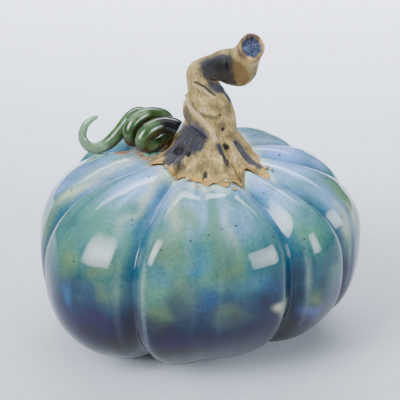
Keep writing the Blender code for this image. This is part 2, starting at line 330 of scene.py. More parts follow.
def angle_between(azimuth, centre_deg):
    """The turn from one azimuth to another, in degrees from -180 to 180."""
    return (math.degrees(azimuth) - centre_deg + 180) % 360 - 180


def skirt_reach(azimuth):
    """How far the skirt's ragged edge reaches from its own centre."""
    reach = SKIRT_RADIUS
    for centre, extra, width in SKIRT_TOES:
        reach += extra * MM * math.exp(-((angle_between(azimuth, centre) / width) ** 2))
    return reach


def on_body(x, y):
    """The point of the body's crown at x and y, raised by the gap of the joint."""
    azimuth = math.atan2(x, -y)
    radius = math.hypot(x, y)
    polar = 0.0
    step = 0.4
    while step > 1e-7:
        flat = body_point(azimuth, polar + step, -JOINT_GAP)
        if math.hypot(flat.x, flat.y) < radius:
            polar += step
        else:
            step /= 2
    return Vector((x, y, body_point(azimuth, polar, -JOINT_GAP).z))


def fold(azimuth, along):
    """The height of the climbing fold: a crest with a hollow beside it, and a thorn at its end."""
    share = (along - FOLD_FOOT[1]) / (FOLD_THORN[1] - FOLD_FOOT[1])
    centre = FOLD_FOOT[0] + (FOLD_THORN[0] - FOLD_FOOT[0]) * min(share, 1.0)
    past = max(share - 1.0, 0.0)
    turn = angle_between(azimuth, centre)
    crest = math.exp(-((turn / 17) ** 2)) - 0.9 * math.exp(-(((turn + 40) / 22) ** 2))
    return FOLD_HEIGHT_MM * MM * crest * math.exp(-((past / 0.25) ** 2))


def swell(azimuth, along):
    """How far the stem stands out of the round at its knuckle, crook, hollow and keel."""
    height = 0.0
    for centre, place, rise, width, length in STEM_SWELLS:
        turn = angle_between(azimuth, centre) / width
        height += rise * MM * math.exp(-(turn**2) - ((along - place) / length) ** 2)
    return height


def slanted(point, centre, axis, along):
    """A point of a ring, moved along the line so that the rings lean towards the slant of the cut face."""
    looks = Vector(CUT_FACE_LOOKS).normalized()
    lean = smoothstep((along - 0.8) / 0.2)
    return point - axis * (lean * (point - centre).dot(looks) / axis.dot(looks))




# How finely the visible skins are laid out
BODY_STEPS = 40
BODY_ROWS = 215
STEM_COLUMNS = 260
TENDRIL_COLUMNS = 40

# Clouds of colour in the glaze: kind, azimuth in degrees, height, half width, half height, strength
CLOUDS = (
    ("green", -82, 72, 7, 3, 0.8),
    ("green", -75, 58, 4, 10, 0.7),
    ("green", -43, 66, 9, 6, 0.8),
    ("green", -50, 58, 10, 9, 0.5),
    ("green", -6, 67, 5, 5, 0.6),
    ("green", 6, 65, 2.4, 10, 1.0),
    ("green", 5, 56, 2.2, 8, 0.9),
    ("green", -13, 44, 5, 8, 0.7),
    ("green", 16, 59, 5, 6, 0.5),
    ("green", 46, 58, 5, 5, 0.8),
    ("green", 58, 71, 5, 3, 0.5),
    ("green", -25, 55, 6, 9, 0.4),
    ("yellow", -73, 49, 4, 5, 0.6),
    ("yellow", -45, 51, 4, 5, 0.8),
    ("yellow", -33, 52, 6, 5, 0.7),
    ("yellow", -30, 43, 2.5, 5, 0.6),
    ("yellow", -4, 68, 5, 4, 0.6),
    ("yellow", -10, 60, 5, 6, 0.8),
    ("yellow", -11, 36, 4, 4, 0.7),
    ("yellow", -4, 45, 5, 7, 0.6),
    ("yellow", 11, 54, 5, 6, 0.8),
    ("yellow", 9, 60, 3, 8, 0.7),
    ("yellow", 12, 36, 6, 4, 0.6),
    ("yellow", 44, 36, 3, 4, 0.7),
    ("cream", -73, 63, 2.4, 7, 1.0),
    ("cream", 67, 54, 2.0, 9, 0.8),
    ("cream", -30, 70, 2, 5, 0.8),
    ("cream", -11, 71, 2.4, 5, 0.7),
    ("cream", 127, 70, 3, 2, 0.6),
    ("cream", 31, 34, 1.8, 2, 1.0),
    ("cream", 14, 66, 1.6, 6, 0.4),
    ("blue", -43, 41, 1.6, 3.5, 1.0),
    ("blue", 2, 55, 4, 3, 0.9),
    ("blue", -11, 52, 4, 4, 0.5),
    ("blue", 4, 42, 5, 6, 0.4),
    ("blue", 22, 46, 7, 4, 0.4),
    ("blue", -22, 64, 2.6, 8, 0.6),
    ("indigo", -35, 44, 3, 8, 0.8),
    ("indigo", 11, 33, 11, 6, 0.7),
    ("indigo", 0, 38, 10, 6, 0.5),
    ("indigo", -34, 37, 9, 4, 0.5),
    ("lavender", -84, 69, 5, 2.5, 0.8),
    ("lavender", -46, 71, 5, 3, 0.55),
    ("lavender", 18, 65, 5, 3.5, 0.35),
    ("lavender", 95, 69, 12, 4, 0.9),
    ("lavender", 134, 72, 8, 3, 0.7),
    ("lavender", 68, 60, 5, 8, 0.6),
    ("lavender", 44, 29, 4, 3, 0.25),
    ("purple", -34, 31, 11, 4, 1.0),
    ("purple", -6, 24, 14, 3.5, 1.0),
    ("purple", 14, 22, 14, 3, 0.9),
    ("purple", 34, 22, 5, 4, 0.7),
)

# The same kinds of cloud on the side that faces away: kind, how many, lowest and highest height, half
# width and half height
CLOUDS_BEHIND = (
    ("green", 9, 40, 70, 5, 8),
    ("yellow", 9, 34, 66, 5, 6),
    ("cream", 6, 50, 72, 2, 5),
    ("blue", 7, 40, 64, 5, 6),
    ("indigo", 6, 32, 46, 8, 5),
    ("lavender", 7, 60, 72, 6, 4),
    ("purple", 7, 20, 32, 10, 4),
)

# How far the lobes stand out beside the pressed grooves, and where: height and middle from a groove's
# line, and half width, in metres
SHOULDER = 0.0008
SHOULDER_FROM_GROOVE = 0.0062
SHOULDER_WIDTH = 0.0042

# How far from a groove's line its glaze pools and where it breaks over the lips, in metres. The lips
# show less towards the crown, down to a least share, and less on the left of a groove.
POOL_WIDTH = 0.0031
LIP_FROM_GROOVE = 0.0047
LIP_WIDTH = 0.0008
LIP_FADES_TO = 0.064
LIP_FADE = 0.020
LEAST_LIP = 0.25
LEFT_LIP = 0.45

# Patches that the glaze left bare beside the tendril: x, y and radius in millimetres
BARE_PATCHES = ((-24, 7, 4.5), (-28, 2.5, 3.0), (-17, 1, 6), (-13, -6, 4.5), (-12, 9, 6))
SKIRT_GLAZE_WIDTH = 0.0030  # of the pale ring of thin glaze round the skirt

# The skirt's torn fibres: how high they stand, and how many round it, how tall and how slow each kind is
TORN_LIFT = 0.0011
TORN = ((9, 1.0, 2.2), (22, 0.7, 3), (45, 0.4, 5))
# The sunk end face, ring by ring from its rim: share of the end's radius, and depth
CUT_FACE_RINGS = (
    (0.95, -0.0003), (0.88, -0.0004), (0.78, -0.0001), (0.70, 0.0005), (0.60, 0.0010), (0.3, 0.0011),
)
TENDRIL_ROLL = 0.035  # unevenness of the hand-rolled strand, as a share of its thickness

# Marks in the stem's clay: half width, push along the surface's normal, tint, and the line's points
# in millimetres. A mark with one point is a round one. The pit and olive tints are painted shade in
# hollows, and the navy tint is oxide deepened by painted shade.
MARKS = (
    (0.5, -0.5, "pit", ((8.0, -7.8, 91.0),)),
    (0.75, -0.9, "pit", ((9.3, -7.7, 85.3),)),
    (1.0, -1.3, "pit", ((10.2, -9.9, 80.1), (10.6, -10.3, 79.7))),
    (0.9, -0.9, "pit", ((11.4, -15.0, 76.2),)),
    (0.65, -0.7, "pit", ((14.3, -7.1, 79.8),)),
    (0.9, -1.3, "pit", ((-3.6, -11.2, 77.6), (-3.5, -11.6, 76.9))),
    (0.45, -0.6, "pit", ((-1.0, -13.8, 78.3),)),
    (1.5, -1.6, "navy", ((-7.4, -8.5, 77.6), (-6.8, -8.9, 77.8))),
    (1.6, -1.6, "olive", ((-6.4, -18.4, 73.2), (-5.7, -15.6, 73.6))),
    (0.9, -0.9, "pit", ((2.6, -25.4, 73.9), (2.6, -22.6, 74.8))),
    (0.30, -0.4, "pit", ((0.4, -5.5, 99.0),)),
    (0.35, -0.4, "pit", ((16.1, -9.1, 106.5),)),
    (0.20, -0.35, "navy", ((-2.1, -3.4, 102.4), (-0.5, -4.1, 102.1), (0.8, -4.6, 101.5))),
    (0.28, -0.4, "navy", ((0.8, -4.6, 101.5), (2.4, -5.2, 101.0), (3.7, -5.7, 99.8), (6.2, -6.0, 98.0))),
    (0.40, 0.16, "pale", ((-1.7, -3.8, 101.4), (0.8, -5.0, 100.4), (3.3, -6.0, 98.8), (5.8, -6.7, 97.1))),
    (2.7, -0.7, "navy", ((4.9, -3.2, 105.6), (8.7, -4.5, 106.9), (11.0, -6.6, 107.4))),
    (2.2, -0.4, "navy", ((8.0, -3.2, 103.6), (11.9, -5.6, 103.9))),
    (2.6, 0.0, "slate", ((4.0, -2.6, 107.8), (8.0, -3.7, 109.6), (11.0, -6.8, 110.4))),
    (1.6, 0.3, "slate", ((5.4, -3.8, 100.6), (7.0, -3.4, 99.6), (8.8, -1.4, 98.8))),
    (0.9, 0.5, "slate", ((8.9, -1.8, 98.9),)),
    (0.8, 0.4, "slate", ((10.4, -2.2, 96.6), (11.4, -2.0, 94.6))),
    (2.4, 0.0, "ochre", ((14.6, -9.4, 109.8), (15.8, -8.8, 105.6))),
    (1.0, 0.0, "ochre", ((15.8, -13.6, 114.4), (18.6, -13.9, 113.6), (20.8, -12.2, 114.6))),
    (0.55, 1.1, "pale", ((-4.3, -1.0, 96.0), (-4.9, -1.0, 96.4))),
    (0.9, 0.22, "pale", ((-4.4, -2.6, 95.4), (-3.0, -5.2, 93.0), (-0.6, -7.5, 91.4), (2.6, -9.1, 88.4),
                         (5.1, -9.7, 85.6), (6.2, -11.1, 82.6))),
    (0.7, -0.30, "olive", ((-2.4, -6.0, 94.4), (-0.6, -7.5, 92.4), (2.6, -8.8, 90.8), (6.6, -8.2, 90.1))),
    (1.6, -0.4, "grey", ((-4.3, -3.9, 91.4), (-3.6, -5.7, 89.4), (-2.1, -7.6, 87.4), (-0.7, -8.0, 85.3))),
    (2.6, 0.0, "slate", ((-10.2, -7.2, 77.0), (-5.1, -3.7, 82.0), (-2.1, -5.3, 84.1), (0.8, -9.5, 83.7))),
    (2.6, 0.0, "slate", ((-9.4, -12.1, 75.2), (-6.5, -9.0, 77.8), (-4.3, -8.8, 79.3), (-0.7, -10.8, 80.1))),
    (1.0, -0.3, "slate", ((7.7, -12.4, 80.8), (8.7, -14.7, 78.6), (10.5, -17.1, 76.2))),
    (1.0, -0.4, "slate", ((14.3, -7.1, 79.8), (16.5, -9.0, 77.0), (19.0, -10.9, 74.6), (22.5, -12.2, 73.3))),
)


def clear_hands():
    """Nothing selected, so that a primitive is then added as the only thing in hand."""
    bpy.ops.object.select_all(action="DESELECT")


def laid_sphere(name, rings, ends):
    """A sphere primitive laid over rings of points, bottom ring first, and closed at its two end points.

    Returns the piece, and a function that stores one value for each ring and step as an attribute.
    """
    rings = np.array(rings, float)
    count, steps = rings.shape[:2]
    clear_hands()
    bpy.ops.mesh.primitive_uv_sphere_add(segments=steps, ring_count=count + 1, radius=1)
    piece = bpy.context.active_object
    piece.name = piece.data.name = name
    mesh = piece.data
    place = np.empty(len(mesh.vertices) * 3)
    mesh.vertices.foreach_get("co", place)
    place = place.reshape(-1, 3)
    ring = np.rint((1 - np.arccos(np.clip(place[:, 2], -1, 1)) / math.pi) * (count + 1)).astype(int)
    step = np.rint(np.arctan2(place[:, 1], place[:, 0]) / (2 * math.pi) * steps).astype(int) % steps
    table = np.concatenate(
        [np.broadcast_to(ends[0], (1, steps, 3)), rings, np.broadcast_to(ends[1], (1, steps, 3))]
    )
    mesh.vertices.foreach_set("co", (table[ring, step] + np.array(CENTRING)).ravel())
    bpy.ops.object.mode_set(mode="EDIT")
    bpy.ops.mesh.select_all(action="SELECT")
    bpy.ops.mesh.normals_make_consistent(inside=False)
    bpy.ops.object.mode_set(mode="OBJECT")
    bpy.ops.object.shade_smooth()

    def store(attribute, values):
        values = np.array(values, float)
        values = np.concatenate([values[:1], values, values[-1:]])[ring, step]
        set_attribute(piece, attribute, values)

    return piece, store


def set_attribute(piece, name, values):
    """One value, or one vector, for each vertex of a piece."""
    values = np.asarray(values, float)
    kind, key = ("FLOAT_VECTOR", "vector") if values.ndim == 2 else ("FLOAT", "value")
    layer = piece.data.attributes.new(name, kind, "POINT")
    layer.data.foreach_set(key, values.ravel())


def points_and_normals(piece):
    """A piece's vertices and normals, as two arrays of rows, measured from the pumpkin's own axis."""
    mesh = piece.data
    points = np.empty(len(mesh.vertices) * 3)
    normals = np.empty(len(mesh.vertices) * 3)
    mesh.vertices.foreach_get("co", points)
    mesh.vertex_normals.foreach_get("vector", normals)
    return points.reshape(-1, 3) - np.array(CENTRING), normals.reshape(-1, 3)


def move_points(piece, points):
    """Puts a piece's vertices at new places, measured from the pumpkin's own axis."""
    piece.data.vertices.foreach_set("co", (points + np.array(CENTRING)).ravel())
    piece.data.update()


def distance_to_line(points, line):
    """How far each point is from a line through a few points, or from a single one."""
    line = np.array(line, float)
    if len(line) == 1:
        return np.linalg.norm(points - line[0], axis=1)
    nearest = np.full(len(points), 1e9)
    for start, end in zip(line, line[1:]):
        along = end - start
        share = np.clip((points - start) @ along / (along @ along), 0, 1)
        nearest = np.minimum(nearest, np.linalg.norm(points - start - share[:, None] * along, axis=1))
    return nearest


def wander(points, size, height, seed):
    """Soft hand-made unevenness: a noise of a given size and height at each point."""
    shift = Vector((seed * 3.7, seed * 1.3, seed * 7.1))
    return np.array([noise.noise(Vector(p) / size + shift) for p in points.tolist()]) * height


def cloud_rows():
    """The clouds in view, and others of the same kinds scattered over the far side."""
    dice = random.Random(11)
    rows = list(CLOUDS)
    for kind, count, low, high, width, height in CLOUDS_BEHIND:
        for index in range(count):
            azimuth = 66 + (218 / count) * (index + dice.random())
            rows.append((kind, azimuth, dice.uniform(low, high), width * dice.uniform(0.7, 1.3),
                         height * dice.uniform(0.7, 1.3), dice.uniform(0.6, 1.0)))
    return rows


def make_body():
    """The glazed body: a skin as fine as the eye needs, with values for where glaze pools and breaks."""
    rings, depths, widths = [], [], []
    azimuths = []
    for row in range(1, BODY_ROWS):
        polar = math.pi * (1 - row / BODY_ROWS)
        ring, groove, width, turned = [], [], [], []
        for lobe in range(len(LOBES)):
            left, right = (groove_azimuth(i, polar) for i in (lobe, lobe + 1))
            for step in range(BODY_STEPS):
                across = step / BODY_STEPS
                across -= GROOVE_CROWDING * math.sin(2 * math.pi * across) / (2 * math.pi)
                azimuth = left + (right - left) * across
                point = body_point(azimuth, polar)
                ring.append(point[:])
                side = min(across, 1 - across) * (right - left) * math.hypot(point.x, point.y)
                groove.append(side)
                near = lobe if across < 0.5 else lobe + 1
                width.append(LOBES[near % len(LOBES)][3] / 0.0042)
                turned.append(azimuth)
        rings.append(ring)
        depths.append(groove)
        widths.append(width)
        azimuths.append(turned)
    ends = (body_point(0, math.pi)[:], body_point(0, 0)[:])
    body, store = laid_sphere("glazed_body", rings, ends)

    side, deep = np.array(depths), np.minimum(np.array(widths), 1.0)
    beside = np.exp(-(((side - SHOULDER_FROM_GROOVE) / SHOULDER_WIDTH) ** 2)) * deep
    store("beside", beside)
    flow = np.array(rings)
    # Glaze pools in the grooves, and breaks over their lips, most of all low down
    lower = np.clip((LIP_FADES_TO - flow[:, :, 2]) / LIP_FADE, LEAST_LIP, 1)
    lower *= np.where(np.arange(side.shape[1]) % BODY_STEPS < BODY_STEPS / 2, 1.0, LEFT_LIP)
    store("pool", np.exp(-((side / POOL_WIDTH) ** 2)) * deep)
    store("lip", np.exp(-(((side - LIP_FROM_GROOVE) / LIP_WIDTH) ** 2)) * deep * lower)
    flat = np.array(azimuths)
    flow = np.stack([np.sin(flat) * BODY_RADIUS, -np.cos(flat) * BODY_RADIUS, flow[:, :, 2] * 0.3], axis=2)
    store("flow", flow)

    points, normals = points_and_normals(body)
    resting = np.clip(points[:, 2] / 0.006, 0, 1)
    soft = wander(points, 0.024, 0.00030, 1) + wander(points, 0.011, 0.00010, 2)
    beside = np.empty(len(points))
    body.data.attributes["beside"].data.foreach_get("value", beside)
    round_the_middle = np.clip((np.hypot(points[:, 0], points[:, 1]) / BODY_RADIUS - 0.62) / 0.25, 0, 1)
    soft += SHOULDER * beside * round_the_middle
    move_points(body, points + normals * (soft * resting)[:, None])

    azimuth = np.degrees(np.arctan2(points[:, 0], -points[:, 1]))
    reach = np.hypot(points[:, 0], points[:, 1])
    stray = wander(points, 0.009, 0.004, 3), wander(points, 0.009, 0.004, 4)
    layers = {}
    for kind, centre, height, width, tall, strength in cloud_rows():
        turn = (azimuth - centre + 180) % 360 - 180
        sideways = np.radians(turn) * reach + stray[0]
        upward = points[:, 2] - height * MM + stray[1]
        cloud = strength * np.exp(-((sideways / (width * MM)) ** 2) - (upward / (tall * MM)) ** 2)
        layers[kind] = np.maximum(layers.get(kind, 0), cloud)
    for kind, values in layers.items():
        set_attribute(body, kind, values)

    edge = np.array([skirt_reach(math.atan2(x - SKIRT_CENTRE_X, -y)) for x, y in points[:, :2].tolist()])
    past_edge = np.hypot(points[:, 0] - SKIRT_CENTRE_X, points[:, 1]) - edge
    crown = points[:, 2] > 0.055
    set_attribute(body, "skirt", np.exp(-((np.maximum(past_edge, 0) / SKIRT_GLAZE_WIDTH) ** 2)) * crown)
    unglazed = np.zeros(len(points))
    for x, y, radius in BARE_PATCHES:
        away = (points[:, 0] - x * MM) ** 2 + (points[:, 1] - y * MM) ** 2
        unglazed = np.maximum(unglazed, np.exp(-away / (radius * MM) ** 2))
    set_attribute(body, "unglazed", unglazed * crown)
    open_vent(body)
    return body


def open_vent(body):
    """Opens the vent under the foot: its rim is rounded, and its wall goes up into a dark chamber."""
    bpy.ops.object.select_all(action="DESELECT")
    bpy.context.view_layer.objects.active = body
    body.select_set(True)
    bpy.ops.object.mode_set(mode="EDIT")
    bpy.ops.mesh.select_mode(type="FACE")
    bpy.ops.mesh.select_all(action="DESELECT")
    bpy.ops.object.mode_set(mode="OBJECT")
    axis = Vector(CENTRING)
    for face in body.data.polygons:
        middle = face.center - axis
        face.select = middle.z < 0.002 and math.hypot(middle.x, middle.y) < VENT_RADIUS
    bpy.ops.object.mode_set(mode="EDIT")
    for rise, spread in ((0.0004, 0.93), (0.0050, 1.0), (0.0006, 2.2), (0.0120, 1.6)):
        bpy.ops.mesh.extrude_region_move(TRANSFORM_OT_translate={"value": (0, 0, rise)})
        bpy.ops.transform.resize(value=(spread, spread, 1), center_override=tuple(axis))
    bpy.ops.object.mode_set(mode="OBJECT")


def fine_skirt_reach(azimuth):
    """The skirt's edge as torn clay leaves it: its toes, with a fine raggedness of its own."""
    ragged = noise.noise(Vector((math.sin(azimuth) * 3.2, math.cos(azimuth) * 3.2, 0.5))) * 0.0012
    ragged += noise.noise(Vector((math.sin(azimuth) * 8.5, math.cos(azimuth) * 8.5, 4.5))) * 0.0007
    return skirt_reach(azimuth) + ragged


def make_stem():
    """The bare clay stem: torn fibres on its skirt, a twisted trunk, folds, pits and a sunk end face."""
    azimuths = [2 * math.pi * i / STEM_COLUMNS for i in range(STEM_COLUMNS)]
    skirt_centre = Vector((SKIRT_CENTRE_X, 0, 0))
    outward = [Vector((math.sin(a), -math.cos(a), 0)) for a in azimuths]
    rim_flat = [skirt_centre + fine_skirt_reach(a) * out for a, out in zip(azimuths, outward)]
    rings, climbs = [], []
    for share in (0.3, 0.6, 0.85, 1.0):
        rings.append([on_body(*skirt_centre.lerp(p, share)[:2]) for p in rim_flat])
        climbs.append(0.0)
    rim = [p + Vector((0, 0, 0.4 * SKIRT_RIM)) for p in rings[-1]]
    rings.append(rim)
    climbs.append(0.0)

    line = smooth_line(STEM_LINE_MM, 12) * MM
    frames = frames_along(line)
    line = line.tolist()
    trunk = []
    for place, (row, spine) in enumerate(zip(line, frames)):
        along = place / (len(line) - 1)
        axis = spine[1].cross(spine[0])
        twist = math.radians(STEM_TWIST_DEG * along)
        depth = RIDGE_SHARE * (1 - 0.5 * along)
        ring = []
        for a in azimuths:
            fibre = noise.noise(Vector((math.sin(a - twist) * 5, math.cos(a - twist) * 5, along * 5)))
            reach = row[3] * (1 + depth * ridge(a - twist) + 0.025 * fibre)
            reach = reach + fold(a, along) + swell(a, along)
            point = ring_point(Vector(row[:3]), spine, a, reach)
            ring.append(slanted(point, Vector(row[:3]), axis, along))
        trunk.append(ring)
    flare = [(i + 1) / 34 for i in range(33)]
    for share in flare:
        ring = []
        for a, start, end in zip(azimuths, rim, trunk[0]):
            flat = start.lerp(end, share)
            climb = share**1.7
            torn = sum(
                tall * noise.noise(Vector((math.sin(a) * count, math.cos(a) * count, share * slow)))
                for count, tall, slow in TORN
            )
            lift = torn * TORN_LIFT * math.sin(math.pi * share) ** 0.7
            lift += 0.6 * SKIRT_RIM * min(share * 8, 1 - share)
            ring.append(Vector((flat.x, flat.y, start.z + (end.z - start.z) * climb + lift)))
        rings.append(ring)
        climbs.append(share * 0.4)
    rings += trunk
    climbs += [0.4 + 0.6 * i / (len(trunk) - 1) for i in range(len(trunk))]
    end = Vector(line[-1][:3])
    axis = Vector(CUT_FACE_LOOKS).normalized()
    for share, sink in CUT_FACE_RINGS:
        ring = []
        for a, p in zip(azimuths, trunk[-1]):
            ragged = noise.noise(Vector((math.sin(a) * 2.6, math.cos(a) * 2.6, 7.5))) * (1 - share)
            ring.append(end.lerp(p, share + 0.55 * ragged) - (sink + 0.001 * ragged) * axis)
        rings.append(ring)
        climbs.append(1.0)
    ends = (on_body(SKIRT_CENTRE_X, 0.0)[:], (end - 0.0010 * axis)[:])
    stem, store = laid_sphere("clay_stem", [[p[:] for p in ring] for ring in rings], ends)

    climb = np.broadcast_to(np.array(climbs)[:, None], (len(climbs), STEM_COLUMNS))
    store("climb", climb)
    turn = np.array(azimuths)[None, :] - np.radians(STEM_TWIST_DEG) * np.clip((climb - 0.4) / 0.6, 0, 1)
    store("fibres", np.stack([np.sin(turn) * 0.008, -np.cos(turn) * 0.008, climb * 0.012], axis=2))
    face = np.zeros(climb.shape)
    face[-3:] = 1
    face[-4] = 0.5
    store("cut_face", face)
    rim_ring = np.zeros(climb.shape)
    rim_ring[-9:-3] = 1
    rim_ring[-13:-9] = 0.5
    store("cut_rim", rim_ring)

    points, normals = points_and_normals(stem)
    stray = wander(points, 0.0022, 0.0006, 5)
    tints = {}
    push = wander(points, 0.004, 0.00016, 6)
    for width, depth, tint, line_mm in MARKS:
        away = distance_to_line(points, np.array(line_mm) * MM)
        reach = np.maximum(away + stray * min(width, 1.5) * 0.5, 0) / (width * MM)
        push += depth * MM * np.exp(-(reach**2))
        tints[tint] = np.maximum(tints.get(tint, 0), np.exp(-((reach / 1.2) ** 2.5)))
    move_points(stem, points + normals * push[:, None])
    for tint, values in tints.items():
        set_attribute(stem, tint, values)
    flat = np.hypot(points[:, 0] - SKIRT_CENTRE_X, points[:, 1])
    facing = [math.atan2(x - SKIRT_CENTRE_X, -y) for x, y in points[:, :2].tolist()]
    edge = np.array([fine_skirt_reach(azimuth) for azimuth in facing])
    low = np.clip((0.0785 - points[:, 2]) / 0.003, 0, 1)
    set_attribute(stem, "toe", np.clip(1 - (edge - flat) / 0.006, 0, 1) * low)
    return stem


def make_tendril():
    """The tendril: a rolled strand under thick glaze, from the stem to its hooked tip."""
    line = smooth_line(TENDRIL_MM, 9) * MM
    frames = frames_along(line)
    azimuths = [2 * math.pi * i / TENDRIL_COLUMNS for i in range(TENDRIL_COLUMNS)]
    rings, alongs = [], []
    for place, (row, spine) in enumerate(zip(line.tolist(), frames)):
        ring = []
        for a in azimuths:
            place_on_skin = Vector((math.sin(a) * 0.7, math.cos(a) * 0.7, place / 22))
            rolled = 1 + TENDRIL_ROLL * noise.noise(place_on_skin)
            ring.append(ring_point(Vector(row[:3]), spine, a, row[3] * rolled)[:])
        rings.append(ring)
        alongs.append(place / (len(line) - 1))
    root, tip = (Vector(row[:3]) for row in (line[0].tolist(), line[-1].tolist()))
    back = tip - Vector(line[-2].tolist()[:3])
    rings.insert(0, [root.lerp(Vector(p), 0.6)[:] for p in rings[0]])
    alongs.insert(0, 0.0)
    last = rings[-1]
    for share, step in ((0.85, 1.0), (0.5, 1.8)):
        rings.append([(tip.lerp(Vector(p), share) + back * step)[:] for p in last])
        alongs.append(1.0)
    tendril, store = laid_sphere("glazed_tendril", rings, (root[:], (tip + back * 2.0)[:]))
    store("along", np.broadcast_to(np.array(alongs)[:, None], (len(alongs), TENDRIL_COLUMNS)))
    return tendril


def make_fillets():
    """Glaze that ran down the tendril and set round the spots where it touches the crown."""
    line = smooth_line(TENDRIL_MM, 6) * MM
    spots = []
    for low, high, width in ((5, 9, 3.0), (15, 19, 3.0), (25, 30, 3.0)):
        part_of_line = line[low * 6 : high * 6 + 1]
        spots.append((part_of_line[np.argmin(part_of_line[:, 2])], width))
    made = []
    for index, (spot, width) in enumerate(spots):
        steps, rows = 48, 14
        rings = []
        heading = np.gradient(line[:, :2], axis=0)[np.argmin(np.linalg.norm(line - spot, axis=1))]
        heading = Vector((*heading, 0)).normalized()
        aside = Vector((-heading.y, heading.x, 0))
        for row in range(1, 2 * rows):
            share = row / rows if row <= rows else 2 - row / rows
            ring = []
            for step in range(steps):
                a = 2 * math.pi * step / steps
                ragged = 1 + 0.12 * noise.noise(Vector((math.sin(a) * 1.5, math.cos(a) * 1.5, index)))
                flat = heading * math.cos(a) * 4.6 * MM + aside * math.sin(a) * width * MM
                place = Vector((spot[0], spot[1], 0)) + flat * share * ragged
                ground = on_body(place.x, place.y) - Vector((0, 0, JOINT_GAP))
                rise = -0.0004 if row < rows else 0.0016 * (1 - share) ** 1.6 + 0.0002 * (1 - share**8)
                ring.append((ground + Vector((0, 0, rise)))[:])
            rings.append(ring)
        centre = on_body(spot[0], spot[1]) - Vector((0, 0, JOINT_GAP))
        ends = ((centre - Vector((0, 0, 0.0004)))[:], (centre + Vector((0, 0, 0.0016)))[:])
        made.append(laid_sphere(f"glaze_fillet_{index + 1}", rings, ends)[0])
    return made


# Drops of glaze that stand on the skirt's toes: x, y and radius in millimetres
DROPS = (
    (-3.5, -25.6, 1.15),
    (10.4, -27.6, 1.15),
    (-0.3, -30.0, 0.8),
    (13.1, -31.0, 1.1),
    (-11.6, -14.6, 1.0),
    (24.9, -12.6, 0.9),
    (26.6, -13.4, 0.7),
    (-8.0, -20.2, 0.7),
)


def make_drops():
    """Set drops of clear glaze, each a flattened bead on the skirt or beside it."""
    made = []
    for index, (x, y, radius) in enumerate(DROPS):
        clear_hands()
        bpy.ops.mesh.primitive_uv_sphere_add(segments=24, ring_count=14, radius=radius * MM)
        drop = bpy.context.active_object
        drop.name = drop.data.name = f"glaze_drop_{index + 1}"
        ground = on_body(x * MM, y * MM) + Vector(CENTRING)
        outward = Vector((x * MM - SKIRT_CENTRE_X, y * MM))
        on_skirt = outward.length < fine_skirt_reach(math.atan2(outward.x, -outward.y))
        lift = 0.0011 if on_skirt else 0.0002
        bpy.ops.object.mode_set(mode="EDIT")
        bpy.ops.mesh.select_all(action="SELECT")
        bpy.ops.transform.resize(value=(1.1, 1.0, 0.62))
        bpy.ops.transform.translate(value=ground + Vector((0, 0, lift)))
        bpy.ops.object.mode_set(mode="OBJECT")
        bpy.ops.object.shade_smooth()
        made.append(drop)
    return made


def linear(hex_colour):
    """An sRGB colour, written as hex, turned to linear light."""
    channels = [int(hex_colour[i : i + 2], 16) / 255 for i in (1, 3, 5)]
    return tuple(c / 12.92 if c <= 0.04045 else ((c + 0.055) / 1.055) ** 2.4 for c in channels) + (1.0,)


def node(tree, kind, feeds=(), stops=(), **settings):
    """Adds a node with its settings; feeds gives each input a value, a hex colour or another's output."""
    made = tree.nodes.new("ShaderNode" + kind)
    for name, value in settings.items():
        setattr(made, name, value)
    for place, (position, colour) in enumerate(stops):
        ramp = made.color_ramp.elements
        stop = ramp[place] if place < 2 else ramp.new(position)
        stop.position = position
        stop.color = linear(colour)
    for socket, value in dict(feeds).items():
        if isinstance(value, bpy.types.NodeSocket):
            tree.links.new(value, made.inputs[socket])
        else:
            made.inputs[socket].default_value = linear(value) if isinstance(value, str) else value
    return made


def new_finish(name):
    """A material with nothing in it but its shader, and its node tree."""
    finish = bpy.data.materials.new(name)
    finish.use_nodes = True
    return finish, finish.node_tree, finish.node_tree.nodes["Principled BSDF"]


